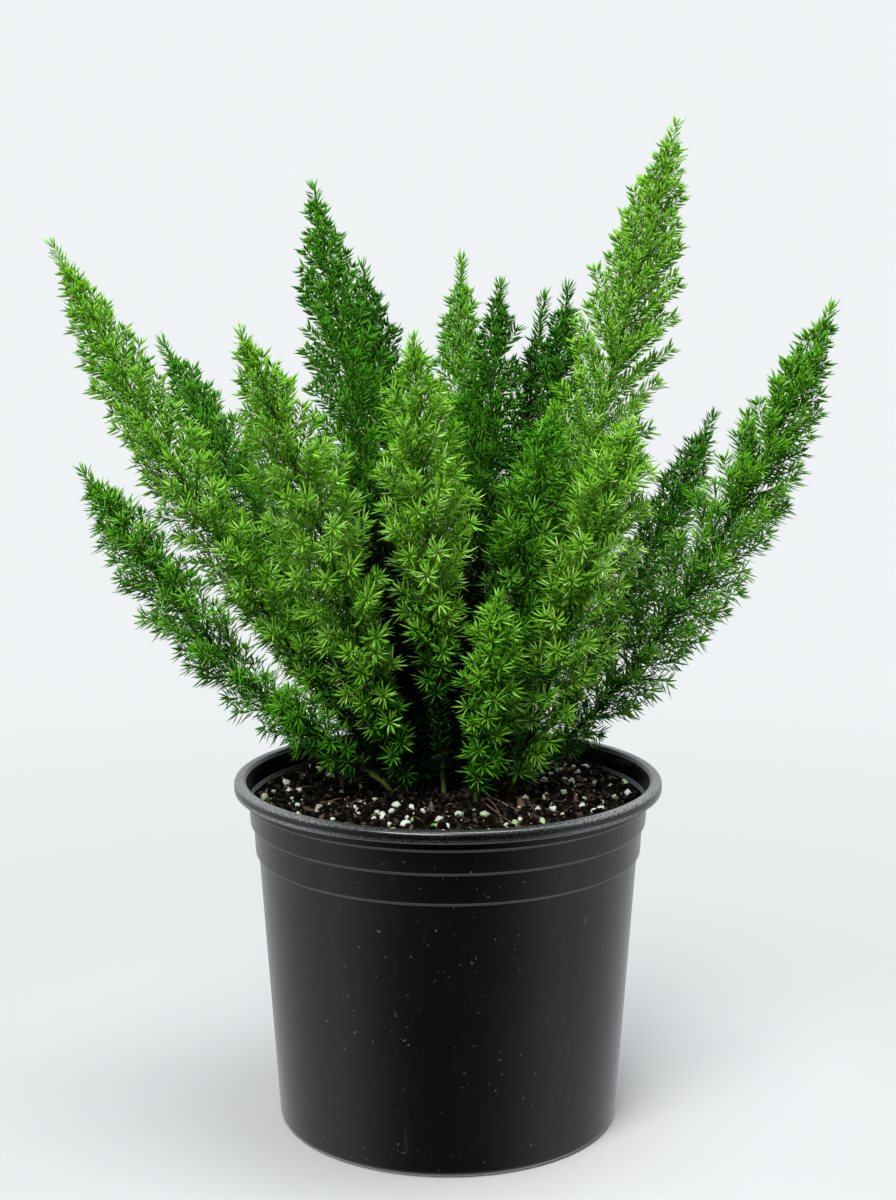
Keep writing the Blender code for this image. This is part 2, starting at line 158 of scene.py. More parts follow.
class Paint:
    """The nodes of one material or of the world."""

    def __init__(self, owner):
        owner.use_nodes = True
        self.owner = owner
        self.tree = owner.node_tree

    def node(self, kind, settings=None, inputs=None, output=0):
        made = self.tree.nodes.new(kind)
        for key, value in (settings or {}).items():
            if key == "stops":
                self.set_stops(made.color_ramp.elements, value)
            else:
                setattr(made, key, value)
        for key, value in (inputs or {}).items():
            self.join(value, made.inputs[key])
        return None if output is None else Wire(self, made.outputs[output])

    def set_stops(self, elements, stops):
        while len(elements) < len(stops):
            elements.new(0.5)
        for element, (place, colour) in zip(elements, stops):
            element.position = place
            element.color = (*colour, 1.0)

    def join(self, value, socket):
        if isinstance(value, Wire):
            self.tree.links.new(value.socket, socket)
        elif socket.type == "RGBA":
            socket.default_value = (*value, 1.0)
        else:
            socket.default_value = value

    def mix(self, share, first, second, blend="MIX"):
        """A colour between two colours."""
        settings = {"data_type": "RGBA", "blend_type": blend}
        return self.node("ShaderNodeMix", settings, {0: share, 6: first, 7: second}, output=2)

    def ramp(self, value, stops):
        """A colour picked along a line of stops, each a place and a colour."""
        return self.node("ShaderNodeValToRGB", {"stops": stops}, {0: value})

    def place(self):
        return self.node("ShaderNodeTexCoord", output="Object")

    def stretched(self, sizes):
        """Object coordinates times a number on each axis."""
        return self.node("ShaderNodeVectorMath", {"operation": "MULTIPLY"}, {0: self.place(), 1: sizes})

    def height(self):
        return self.node("ShaderNodeSeparateXYZ", {}, {0: self.place()}).other(2)

    def radius(self):
        """Distance from the pot's axis."""
        level = self.stretched((1, 1, 0))
        return self.node("ShaderNodeVectorMath", {"operation": "LENGTH"}, {0: level}, "Value")

    def noise(self, scale, detail=3.0, where=None):
        inputs = {"Vector": where or self.place(), "Scale": scale, "Detail": detail}
        return self.node("ShaderNodeTexNoise", {}, inputs)


class Finish(Paint):
    """A Principled material under construction."""

    def __init__(self, name, rough, gloss):
        super().__init__(bpy.data.materials.new(name))
        self.shader = self.tree.nodes["Principled BSDF"].inputs
        self.shader["Roughness"].default_value = rough
        self.shader["Specular IOR Level"].default_value = gloss

    def colour(self, wire):
        self.join(wire, self.shader["Base Color"])

    def rough(self, wire):
        self.join(wire, self.shader["Roughness"])

    def bump(self, height, depth, strength=1.0):
        made = self.node("ShaderNodeBump", {}, {"Height": height, "Distance": depth, "Strength": strength})
        self.join(made, self.shader["Normal"])


# ---- Finishes ----

NEEDLE_MAP = "OFBake"       # across: the needle's own tone, with painted shade on its edges and a painted highlight along its back; up: a band for its age and painted light and shade, and within it its length
BANDS = 10                  # the lowest band is for the shoots' own bark


def needle_finish():
    paint = Finish("needle_green", 0.34, 0.05)
    where = paint.node("ShaderNodeUVMap", {"uv_map": NEEDLE_MAP})
    tone = paint.node("ShaderNodeSeparateXYZ", {}, {0: where})
    band = (tone.other(1) * BANDS).maths("FLOOR")
    age_and_light = ((band - 1) / (BANDS - 2)).clamped()
    # Needle colour by age and painted light and shade; the darkest stops are painted shade for needles deep
    # in the plant
    leaf = paint.ramp(age_and_light, [
        (0.0, (0.0010, 0.008, 0.0003)), (0.2, (0.016, 0.100, 0.0012)), (0.45, (0.052, 0.240, 0.004)),
        (0.75, (0.140, 0.395, 0.014)), (1.0, (0.240, 0.520, 0.050))])
    # Each needle's own tone, with painted shade at the low end and painted highlights at the pale, bluish top
    # end
    shade = paint.ramp(tone, [
        (0.0, (0.55, 0.62, 0.45)), (0.5, (1.02, 1.03, 1.0)),
        (0.8, (1.7, 1.25, 4.0)), (1.0, (2.8, 1.5, 12.0))])
    bark = paint.ramp(tone, [(0.0, (0.05, 0.16, 0.015)), (1.0, (0.14, 0.30, 0.05))])
    paint.colour(paint.mix(band.smooth(0.4, 0.6), bark, paint.mix(1.0, leaf, shade, "MULTIPLY")))
    return paint.owner


def stalk_finish():
    paint = Finish("stem_green", 0.5, 0.3)
    streaks = paint.noise(1.0, 4, paint.stretched((900.0, 900.0, 90.0)))
    patches = paint.noise(60.0)
    green = paint.ramp(streaks, [(0.3, (0.025, 0.050, 0.008)), (0.7, (0.085, 0.130, 0.028))])
    brown = paint.mix(patches.smooth(0.5, 0.72), green, (0.050, 0.036, 0.018))
    shaded = paint.height().belt(RIM_Z + 2 * MM, RIM_Z + 22 * MM, RIM_Z + 70 * MM, RIM_Z + 150 * MM)
    paint.colour(paint.mix(shaded, brown, (0.007, 0.013, 0.003)))
    paint.bump(streaks, 0.0002)
    return paint.owner


def pot_finish():
    paint = Finish("pot_plastic", 0.28, 0.44)
    cloud = paint.noise(14.0, 4)
    grain = paint.noise(1400.0, 2)
    specks = paint.noise(420.0, 2).smooth(0.70, 0.75)
    scuffs = paint.noise(1.0, 5, paint.stretched((260.0, 260.0, 30.0))).smooth(0.66, 0.78)
    black = paint.mix(cloud.smooth(0.35, 0.7), (0.0010, 0.0011, 0.0012), (0.0022, 0.0024, 0.0025))
    height = paint.height()
    handled = height.smooth(RIM_Z - 6.5 * MM, RIM_Z - 1.0 * MM)
    handled = handled * grain.smooth(0.40, 0.75) * cloud.smooth(0.30, 0.62)
    dust = (specks * 0.5 + scuffs * 0.12 + handled * 0.32).clamped()
    dusty = paint.mix(dust, black, (0.14, 0.145, 0.14))
    # Painted highlight: lighter lines along the rim's crest and the lip's edge, strongest at the left and
    # right, broken up by the grain
    crest = height.smooth(RIM_Z - 2.0 * MM, RIM_Z - 0.6 * MM)
    edge = height.belt(RIM_Z - 6.6 * MM, RIM_Z - 5.6 * MM, RIM_Z - 4.6 * MM, RIM_Z - 3.4 * MM)
    outside = paint.radius().smooth(RIM_RADIUS - 6.0 * MM, RIM_RADIUS - 4.0 * MM)
    across = height.other(0)
    sideways = (across * across).smooth((0.25 * RIM_RADIUS) ** 2, (0.70 * RIM_RADIUS) ** 2)
    painted_rim_highlight = (crest + edge) * outside * (sideways * 0.75 + 0.15) * grain.smooth(0.30, 0.62)
    paint.colour(paint.mix(painted_rim_highlight.clamped(), dusty, (0.24, 0.25, 0.25)))
    paint.rough(cloud * 0.08 + grain * 0.08 + specks * 0.3 + handled * 0.08 + 0.15)
    paint.bump(grain * 0.3 + cloud, 0.00010, 0.5)
    return paint.owner


def peat_finish():
    paint = Finish("peat", 0.9, 0.03)
    lumps = paint.noise(300.0, 5)
    patches = paint.noise(45.0, 3)
    dark = paint.ramp(lumps, [(0.42, (0.0016, 0.0014, 0.0011)), (0.53, (0.0050, 0.0040, 0.0029)),
                              (0.62, (0.026, 0.019, 0.012)), (0.72, (0.090, 0.066, 0.042))])
    paint.colour(paint.mix(patches.smooth(0.5, 0.75) * 0.4, dark, (0.008, 0.006, 0.004)))
    paint.bump(lumps, 0.0008)
    return paint.owner


def perlite_finish():
    paint = Finish("perlite", 0.85, 0.3)
    stain = paint.noise(90.0, 3)
    pits = paint.noise(1500.0, 3)
    algae = paint.noise(38.0, 2)
    white = paint.mix(stain.smooth(0.50, 0.72) * 0.75, (0.62, 0.66, 0.58), (0.20, 0.17, 0.10))
    paint.colour(paint.mix(algae.smooth(0.46, 0.62) * 0.7, white, (0.27, 0.42, 0.15)))
    paint.bump(pits, 0.0004)
    return paint.owner


def brown_finish(name, dark, light):
    paint = Finish(name, 0.85, 0.3)
    fibre = paint.noise(600.0, 4)
    patches = paint.noise(120.0, 2)
    brown = paint.mix(patches.smooth(0.35, 0.65), dark, light)
    paint.colour(paint.mix(fibre.smooth(0.45, 0.8) * 0.5, brown, (0.010, 0.007, 0.005)))
    paint.bump(fibre, 0.0004)
    return paint.owner


def leaf_bit_finish():
    paint = Finish("leaf_bit", 0.5, 0.4)
    mottle = paint.noise(500.0, 3)
    paint.colour(paint.ramp(mottle, [(0.35, (0.08, 0.26, 0.02)), (0.7, (0.26, 0.48, 0.07))]))
    return paint.owner


# ---- Mesh helpers ----

def mesh_piece(name, points, faces, finish, uv=None):
    """A smooth-shaded piece from arrays: faces of equally many corners each, and one uv pair a point."""
    mesh = bpy.data.meshes.new(name)
    faces = np.asarray(faces, np.int32)
    mesh.vertices.add(len(points))
    mesh.vertices.foreach_set("co", np.asarray(points, np.float32).ravel())
    mesh.loops.add(faces.size)
    mesh.loops.foreach_set("vertex_index", faces.ravel())
    mesh.polygons.add(len(faces))
    mesh.polygons.foreach_set("loop_start", np.arange(0, faces.size, faces.shape[1], dtype=np.int32))
    if uv is not None:
        layer = mesh.uv_layers.new(name=NEEDLE_MAP)
        layer.uv.foreach_set("vector", np.asarray(uv, np.float32)[faces.ravel()].ravel())
    mesh.update(calc_edges=True)
    mesh.validate()
    mesh.shade_smooth()
    mesh.materials.append(finish)
    piece = bpy.data.objects.new(name, mesh)
    bpy.context.scene.collection.objects.link(piece)
    return piece


def settle(piece, slot, *replaced):
    """Rides the piece on the pot and hides the CAD nodes it stands for; its slot, the finish's name, is not
    used.
    """
    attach(piece, BODY)
    if replaced:
        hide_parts(*replaced)


def unit(vectors):
    return vectors / np.maximum(np.linalg.norm(vectors, axis=-1, keepdims=True), 1e-12)


def between(value, places, rows):
    """The rows' point at a value, or points at many values, that lie between given places."""
    return np.stack([np.interp(value, places, rows[:, k]) for k in range(3)], -1)


def rings_round(line, along, helper, radii, sides):
    """Corners of a ring round each point of a line, square to it; helper says where the first corner is."""
    side = unit(np.cross(along, helper))
    other = np.cross(along, side)
    angles = 2 * math.pi * np.arange(sides) / sides
    ring = np.cos(angles)[None, :, None] * side[:, None] + np.sin(angles)[None, :, None] * other[:, None]
    return (line[:, None] + ring * radii[:, None, None]).reshape(-1, 3)


def skin_faces(rings, sides):
    """Triangles over rings of points one after the other, and over two last points that close the ends."""
    ring = np.arange(sides)
    ahead = (ring + 1) % sides
    low = np.arange(rings - 1)[:, None] * sides
    quads = np.stack((low + ring, low + ahead, low + sides + ahead, low + sides + ring), 2).reshape(-1, 4)
    end = (rings - 1) * sides
    foot = np.full(sides, rings * sides)
    caps = np.vstack((np.stack((ahead, ring, foot), 1), np.stack((end + ring, end + ahead, foot + 1), 1)))
    return np.vstack((quads[:, (0, 1, 2)], quads[:, (0, 2, 3)], caps))


def node_points(name):
    """The separate corners of a CAD node's mesh."""
    mesh = NODES[name].data
    points = np.empty(len(mesh.vertices) * 3, np.float32)
    mesh.vertices.foreach_get("co", points)
    return np.unique(points.reshape(-1, 3).round(6), axis=0).astype(float)


# ---- Stem lines, read from the frame ----

RING_GAP = 0.0016           # corners further apart than this along a stem belong to different rings


def groups_along(values):
    """Indices of sorted values, split where the step to the next one is a ring gap or more."""
    order = np.argsort(values)
    return np.split(order, np.nonzero(np.diff(values[order]) > RING_GAP)[0] + 1)


def smooth_line(knots, count):
    """Evenly spaced points on a Catmull-Rom curve through the knots."""
    ends = np.vstack((2 * knots[0] - knots[1], knots, 2 * knots[-1] - knots[-2]))
    pieces = []
    for k in range(1, len(ends) - 2):
        t = np.linspace(0.0, 1.0, 24, endpoint=False)[:, None]
        a, b, c, d = ends[k - 1:k + 3]
        pieces.append(0.5 * (2 * b + (c - a) * t + (2 * a - 5 * b + 4 * c - d) * t ** 2
                             + (3 * b - a - 3 * c + d) * t ** 3))
    line = np.vstack(pieces + [ends[-2:-1]])
    walked = np.concatenate(([0.0], np.cumsum(np.linalg.norm(np.diff(line, axis=0), axis=1))))
    even = np.linspace(0.0, walked[-1], count)
    return between(even, walked, line), walked[-1]


class StemLine:
    """The centre line of one plume's stem, with the reach of its foliage round it."""

    SAMPLES = 240

    def __init__(self, name):
        corners = node_points("stem_" + name)
        foliage = node_points("foliage_" + name)
        foot = corners[np.argmin(corners[:, 2])]
        tip = foliage[np.argmax(np.linalg.norm(foliage - foot, axis=1))]
        along = (corners - foot) @ unit(tip - foot)
        rings = [corners[group].mean(axis=0) for group in groups_along(along)]
        self.points, self.length = smooth_line(np.array(rings + [tip]), self.SAMPLES)
        self.distances = np.linspace(0.0, self.length, self.SAMPLES)
        self.tangents = unit(np.gradient(self.points, axis=0))
        chord = tip - rings[0]
        self.across = unit(np.cross(chord, (0.0, 0.0, 1.0)))
        self.read_reach(foliage)

    def at(self, distance):
        """At each distance: the place, the direction, and two directions square to it."""
        distance = np.atleast_1d(distance)
        place = between(distance, self.distances, self.points)
        along = unit(between(distance, self.distances, self.tangents))
        across = unit(self.across - along * (along @ self.across)[:, None])
        return place, along, across, np.cross(along, across)

    def spot(self, distance):
        """The same at one distance."""
        return [part[0] for part in self.at(distance)]

    def read_reach(self, foliage):
        """Radius of the foliage's outer skin in each direction, ring by ring."""
        gaps = np.linalg.norm(foliage[:, None] - self.points[None], axis=2)
        nearest = gaps.argmin(axis=1)
        place, along, across, beside = self.at(self.distances[nearest])
        offset = foliage - place
        radius = np.linalg.norm(offset - along * np.einsum("ij,ij->i", offset, along)[:, None], axis=1)
        angle = np.arctan2(np.einsum("ij,ij->i", offset, beside), np.einsum("ij,ij->i", offset, across))
        skin = radius > 2.3 * MM
        distance = self.distances[nearest]
        self.reach = []
        for group in groups_along(distance[skin]):
            if len(group) >= 5:
                ring = np.nonzero(skin)[0][group]
                order = ring[np.argsort(angle[ring])]
                self.reach.append((distance[ring].mean(), angle[order], radius[order]))
        self.start = self.reach[0][0]
        self.ring_at = np.array([ring[0] for ring in self.reach] + [self.length])
        self.widest = max(ring[2].max() for ring in self.reach)

    def radius(self, distance, angle):
        """Reach of the foliage: partly the skin in that direction, partly the ring's widest."""
        own = [0.8 * np.interp(angle, ring[1], ring[2], period=2 * math.pi) + 0.2 * ring[2].max()
               for ring in self.reach]
        return float(np.interp(distance, self.ring_at, own + [2.0 * MM]))


# ---- Needles and side shoots ----

class Growth:
    """Collects the needles and shoots of one plume, and turns them into one mesh."""

    # Along each needle: share of its length, share of its width. The inner needles are made more simply.
    STATIONS = {True: ((0.26, 0.85), (0.62, 1.0)), False: ((0.45, 1.0),)}
    RIB = (-0.16, -0.02, -0.16, 0.34)   # tone round a needle: painted shade on its edges, a painted highlight along its back

    def __init__(self):
        self.needles = {True: [], False: []}
        self.points, self.faces, self.uv, self.count = [], [], [], 0

    def add_needles(self, fine, *parts):
        self.needles[fine].append(parts)

    def add_mesh(self, points, faces, uv):
        self.points.append(points)
        self.faces.append(faces + self.count)
        self.uv.append(uv)
        self.count += len(points)

    def add_shoot(self, line, radii, tone):
        """A three-sided tapered rod through the line's points."""
        along = unit(np.gradient(line, axis=0))
        points = rings_round(line, along, along[0] + (0.31, 0.17, 0.53), radii, 3)
        count = len(line)
        faces = []
        for k in range(count - 1):
            for j in range(3):
                n = (j + 1) % 3
                a, b, c, d = 3 * k + j, 3 * k + n, 3 * k + 3 + n, 3 * k + 3 + j
                faces += [(a, b, c), (a, c, d)]
        faces += [(2, 1, 0), (3 * count - 3, 3 * count - 2, 3 * count - 1)]
        up = np.repeat(np.linspace(0.1, 0.9, count), 3) / BANDS
        across = np.clip(tone + np.tile((-0.01, 0.0, 0.01), count), 0.0, 1.0)
        self.add_mesh(points, np.array(faces), np.stack((across, up), 1))

    def needle_mesh(self, fine):
        """All the needles: each narrow at its foot, widest beyond the middle, pointed, ridged and keeled."""
        if not self.needles[fine]:
            return
        base, direction, forward, length, width, age_and_light, tone, roll = (
            np.concatenate([part[k] for part in self.needles[fine]]) for k in range(8))
        side = unit(np.cross(forward, direction))
        face = np.cross(direction, side)
        bend = face * (length * (0.04 + 0.20 * tone))[:, None] + side * (length * (tone - 0.5) * 0.2)[:, None]
        turn = np.cos(roll)[:, None], np.sin(roll)[:, None]
        side, face = side * turn[0] + face * turn[1], face * turn[0] - side * turn[1]
        stations = self.STATIONS[fine]
        rows = [base]
        for share, size in stations:
            centre = base + direction * (length * share)[:, None] + bend * share ** 2
            half = side * (width * size / 2)[:, None]
            deep = face * (NEEDLE_THICKNESS * size)
            rows += [centre - half, centre - deep * 0.7, centre + half, centre + deep * 0.3]
        rows.append(base + direction * length[:, None] + bend)
        points = np.stack(rows, 1)
        last = len(rows) - 1
        faces = []
        for j in range(4):
            n = (j + 1) % 4
            faces += [(0, 1 + n, 1 + j), (last - 4 + j, last - 4 + n, last)]
            for k in range(1, last - 4, 4):
                faces += [(k + j, k + n, k + 4 + n), (k + j, k + 4 + n, k + 4 + j)]
        every = np.array(faces)[None] + len(rows) * np.arange(len(base))[:, None, None]
        along = np.array([0.0] + [share for share, size in stations for corner in range(4)] + [1.0])
        rib = np.array((0.0,) + self.RIB * len(stations) + (0.0,))
        band = 1 + np.round(np.clip(age_and_light, 0.0, 1.0) * (BANDS - 2))
        up = (band[:, None] + 0.1 + 0.8 * along) / BANDS
        across = 0.01 + 0.98 * (0.12 + 0.68 * tone[:, None] + rib)
        self.add_mesh(points.reshape(-1, 3), every.reshape(-1, 3), np.stack((across, up), 2).reshape(-1, 2))

    def piece(self, name, finish):
        self.needle_mesh(True)
        self.needle_mesh(False)
        return mesh_piece(name, np.vstack(self.points), np.vstack(self.faces), finish, np.vstack(self.uv))


def shade_depth(place):
    """How deep a place is in the plant's shaded middle, 0 to 1: needles there are painted darker as painted
    shade, and side shoots there are shorter.
    """
    height = place[2] - CROWN_HIGH[2]
    radius = math.hypot(place[0] - HEART[0] - HEART_LEAN * height, place[1] - HEART[1])
    return max(0.0, 1 - (radius / HEART_RADIUS) ** 2) * min(1.0, max(0.0, 1 - height / HEART_HEIGHT) * 1.6)


def whorl(growth, rng, place, along, count, splay, size, age_and_light, turn,
          fine=True, flat=0.0, plane=None, broad=1.0):
    """Needles round a shoot at one place, splay degrees from it; flat, 0 to 1, gathers them in two rows."""
    if plane is None:
        plane = np.cross(along, (0.0, 0.0, 1.0) if abs(along[2]) < 0.9 else (1.0, 0.0, 0.0))
    across = unit(plane - along * (plane @ along))
    beside = np.cross(along, across)
    angles = turn + 2 * math.pi * (np.arange(count) + rng.uniform(-0.2, 0.2, count)) / count
    angles -= flat * 0.5 * np.sin(2 * angles)
    open_angle = np.radians(splay + (rng.normal(0.0, 4.0) + rng.normal(0.0, 7.0, count)) * (1.0 - 0.5 * flat))
    outward = np.cos(angles)[:, None] * across + np.sin(angles)[:, None] * beside
    direction = np.cos(open_angle)[:, None] * along + np.sin(open_angle)[:, None] * outward
    base = place + outward * SHOOT_RADIUS * 0.6 + along * rng.uniform(-0.5, 0.5, count)[:, None] * MM
    length = NEEDLE_LENGTH * size * rng.uniform(0.74, 1.14, count)
    width = NEEDLE_WIDTH * max(1.0, size) * (1.0 + 0.10 * flat) * broad * rng.uniform(0.85, 1.12, count)
    # Painted shade: needles darker the deeper they sit in the plant's middle
    ages_and_light = age_and_light - shade_depth(place) + rng.normal(0.0, 0.06, count)
    roll = rng.normal(0.0, 0.35, count) + flat * math.pi / 2
    growth.add_needles(fine, base, direction, np.broadcast_to(along, direction.shape), length, width, ages_and_light,
                       rng.uniform(0.0, 1.0, count), roll)


def side_shoot(growth, rng, start, along, outward, length, open_angle, age_and_light, share):
    """One side shoot: low on the plume it ends in an open star of needles, high up in a narrow feather."""
    steps = np.linspace(0.0, 1.0, SHOOT_POINTS)
    low = min(1.0, max(0.0, (FEATHER_HEIGHT - start[2] + RIM_Z) / STAR_FADE))
    angles = open_angle - math.radians(rng.uniform(4, 16)) * steps
    heading = np.cos(angles)[:, None] * along + np.sin(angles)[:, None] * outward
    droop = np.array((0.0, 0.0, -1.0)) * 0.06 * steps[:, None]
    heading = unit(heading + droop + rng.normal(0.0, 0.03, 3))
    walk = np.vstack((np.zeros(3), np.cumsum((heading[1:] + heading[:-1]) / 2, axis=0)))
    line = start + walk * length / (SHOOT_POINTS - 1)
    growth.add_shoot(line, SHOOT_RADIUS * np.linspace(1.0, 0.5, SHOOT_POINTS), rng.uniform(0.1, 0.9))
    size = 0.74 + 0.26 * low
    flat = 0.9 * (1 - low)
    turn = rng.uniform(0.0, 2 * math.pi)
    tip, ahead = line[-1], heading[-1]
    star = int(round(5 + 4 * low))
    shoot_age_and_light = age_and_light + 0.02 - 0.14 * (1 - low)
    whorl(growth, rng, tip, ahead, star, 44 + 22 * low, size, shoot_age_and_light, turn, True, flat, along)
    whorl(growth, rng, tip, ahead, 3, 24, size * 0.66, shoot_age_and_light, turn + 0.4)
    gap = WHORL_SPACING * (0.85 + 0.15 * low)
    for k in range(1, int(length * 0.92 / gap)):
        reached = 1.0 - (k + rng.uniform(-0.2, 0.2)) * gap / length
        turn += GOLDEN_ANGLE
        place = between(reached, steps, line)
        ahead = unit(between(reached, steps, heading))
        # Painted shade towards the foot of low, open shoots; on high feathers it turns into painted light
        # there
        painted_foot_shade = (0.22 * low - 0.12) * (1 - reached)
        whorl(growth, rng, place, ahead, 5 if low > 0.4 else 4, 46 + 12 * low, size, shoot_age_and_light - painted_foot_shade, turn,
              reached > 0.72 or share > 0.6, flat, along, 1.0 + 0.35 * (1 - reached))


def make_plume(name, index, finish):
    """Side shoots in a spiral up the stem, long low down, short near the tip, inside the foliage's reach."""
    rng = np.random.default_rng(1000 + index)
    line = StemLine(name)
    growth = Growth()
    age_and_light, fullness = PLUME_LOOKS[name]
    leafy = line.length - line.start
    shoots = int(leafy / SHOOT_SPACING)
    angle = rng.uniform(0.0, 2 * math.pi)
    for k in range(shoots):
        share = (k + rng.uniform(0.2, 0.8)) / shoots
        angle = (angle + GOLDEN_ANGLE + rng.normal(0.0, 0.16)) % (2 * math.pi)
        distance = line.start - 2 * MM + share * leafy * SHOOTS_END
        place, along, across, beside = line.spot(distance)
        outward = math.cos(angle) * across + math.sin(angle) * beside
        open_angle = math.radians(OPEN_ANGLE - OPEN_DROP * share + rng.normal(0.0, 5))
        reach = line.radius(distance + 0.6 * line.widest * (1 - share), angle)
        reach *= fullness + (1 - fullness) * min(1.0, share / 0.4)
        spare = np.interp(share, SPARE_AT, SPARE) * MM
        length = (reach - spare) / math.sin(open_angle - math.radians(6)) * rng.uniform(0.90, 1.07)
        length *= 1 - DARK_SHORTENS * shade_depth(place + outward * reach)
        # Painted shade: side shoots darker lower on the plume, and much darker on the thin lowest shoots of
        # sparse plumes
        thin = (1 - fullness) * max(0.0, 1 - share / 0.45)
        if length > SHORTEST_SHOOT:
            side_shoot(growth, rng, place, along, outward, length, open_angle,
                       age_and_light + 0.05 * share ** 2 - 0.06 * (1 - share) - 0.8 * thin, share)
    whorls = int(leafy / STEM_WHORL_SPACING)
    for k in range(whorls):
        share = (k + 0.5) / whorls
        place, along = line.spot(line.start + share * leafy * STEM_WHORLS_END)[:2]
        # Painted shade: needles on the stem itself darker low down
        whorl(growth, rng, place, along, 5 if share > 0.7 else 6, 62 - 8 * share, 0.95 - 0.24 * share,
              age_and_light + 0.20 * share ** 2 - 0.16, k * GOLDEN_ANGLE, share > 0.8, broad=1.35 - 0.3 * share)
    place, along = line.spot(line.length - 3 * MM)[:2]
    whorl(growth, rng, place, along, 7, 30, 0.85, age_and_light + 0.08, 0.0)
    plume = growth.piece("needles_" + name, finish)
    settle(plume, "needles", "foliage_" + name)
    return line


def make_inner_growth(finish):
    """A dense mass of needles in the plant's middle that the light doesn't get through, painted near-black
    low down and dark green higher up as painted shade.
    """
    rng = np.random.default_rng(90)
    growth = Growth()
    for k in range(INNER_COUNT):
        height = rng.uniform(*INNER_HEIGHTS) * MM
        angle = rng.uniform(0.0, 2 * math.pi)
        radius = INNER_RADIUS * math.sqrt(rng.uniform())
        outward = np.array((math.cos(angle), math.sin(angle), 0.0))
        place = np.array((HEART[0] + HEART_LEAN * height + radius * outward[0],
                          HEART[1] + radius * outward[1], CROWN_HIGH[2] + height))
        along = unit(outward * 0.6 + rng.normal(0.0, 0.5, 3) + (0, 0, 0.6))
        # Painted shade: near-black at the foot, dark green higher up
        whorl(growth, rng, place, along, 6, 60, 1.4, 4.0 * height - 0.3, angle, False)
    settle(growth.piece("inner_growth", finish), "needles")


def rod(line, radii, sides):
    """Points and faces of a round rod through a line's points, closed at both ends."""
    along = unit(np.gradient(line, axis=0))
    helper = np.array((0.0, 1.0, 0.0)) if abs(along[0][1]) < 0.9 else np.array((1.0, 0.0, 0.0))
    points = np.vstack((rings_round(line, along, helper, radii, sides), line[:1], line[-1:]))
    return points, skin_faces(len(line), sides)


def make_stalk(name, line, finish):
    """The stem: a thin rod with a faint swelling wherever a side shoot leaves it."""
    end = line.length - STALK_END
    distances = np.linspace(0.5 * MM, end, 90)
    swell = 1.0 + 0.10 * np.maximum(0.0, np.sin(distances / SHOOT_SPACING * math.pi)) ** 4
    radii = np.interp(distances, (0.0, end), STALK_RADII) * swell
    points, faces = rod(line.at(distances)[0], radii, 10)
    stalk = mesh_piece("stalk_" + name, points, faces, finish)
    settle(stalk, "stem_green", "stem_" + name)


# ---- Pot ----

POT_SEGMENTS = 176
WALL = 1.5 * MM
FLOOR = 2.2 * MM
LIP = 6.7 * MM              # how far the rolled rim reaches out over the mouth
LIP_DROP = 6.0 * MM         # how far its skirt hangs down
NECK_STEP = 2.2 * MM        # from the collar in to the first band
BAND_STEP = 2.5 * MM        # from each band in to the next
BAND_TAPER = 0.8 * MM       # how much a band narrows on its way down
BASE_RADIUS = 89.3 * MM
BASE_ROUND = 3 * MM
DRAIN_HOLES = 6
DRAIN_RADIUS = 8 * MM
DRAIN_CIRCLE = 58 * MM      # from the pot's axis to each hole's


def arc(centre, radius, start, end, count):
    """Points of an arc; angles in degrees from outward, upward positive."""
    angles = np.radians(np.linspace(start, end, count))
    return [(centre[0] + radius * math.cos(a), centre[1] + radius * math.sin(a)) for a in angles]


def softened(profile, radius, steps):
    """The profile with its corners rounded."""
    points = [np.array(point) for point in profile]
    made = [points[0]]
    for before, corner, after in zip(points[:-2], points[1:-1], points[2:]):
        back, ahead = before - corner, after - corner
        reach = min(radius, np.linalg.norm(back) * 0.45, np.linalg.norm(ahead) * 0.45)
        first, last = corner + unit(back) * reach, corner + unit(ahead) * reach
        for t in np.linspace(0.0, 1.0, steps):
            made.append((1 - t) ** 2 * first + 2 * t * (1 - t) * corner + t ** 2 * last)
    return made + [points[-1]]


def pot_profile():
    """The pot's section, from the middle of its floor up the inside, over the rim and down the outside."""
    mouth = RIM_RADIUS - LIP
    crest = LIP / 3
    collar = mouth + WALL
    neck = collar - NECK_STEP
    band = neck - BAND_STEP
    body = band - BAND_STEP
    steps = [(collar, RIM_Z - 10.5 * MM), (neck, RIM_Z - 11.5 * MM),
             (neck - BAND_TAPER, RIM_Z - 22.8 * MM), (band, RIM_Z - 23.8 * MM),
             (band - BAND_TAPER, RIM_Z - 38.4 * MM), (body, RIM_Z - 39.4 * MM)]
    inner = BASE_RADIUS - WALL
    inside = [(0.0, FLOOR), (inner - BASE_ROUND, FLOOR), (inner, FLOOR + BASE_ROUND)]
    inside += [(radius - WALL, height - WALL / 2) for radius, height in steps[::-1]]
    over = arc((mouth + crest, RIM_Z - crest), crest, 180, 90, 7)
    over += arc((RIM_RADIUS - crest, RIM_Z - crest), crest, 86, 4, 7)
    hem = RIM_Z - LIP_DROP
    under = RIM_Z - crest - WALL / 2
    skirt = [(RIM_RADIUS, hem + WALL / 2), (RIM_RADIUS - 0.4 * MM, hem), (RIM_RADIUS - WALL, hem),
             (RIM_RADIUS - WALL - 0.4 * MM, under), (collar, under)]
    outside = steps + arc((BASE_RADIUS - BASE_ROUND, BASE_ROUND), BASE_ROUND, 0, -90, 6) + [(0.0, 0.0)]
    return softened(inside + over + skirt + outside, 0.6 * MM, 6)


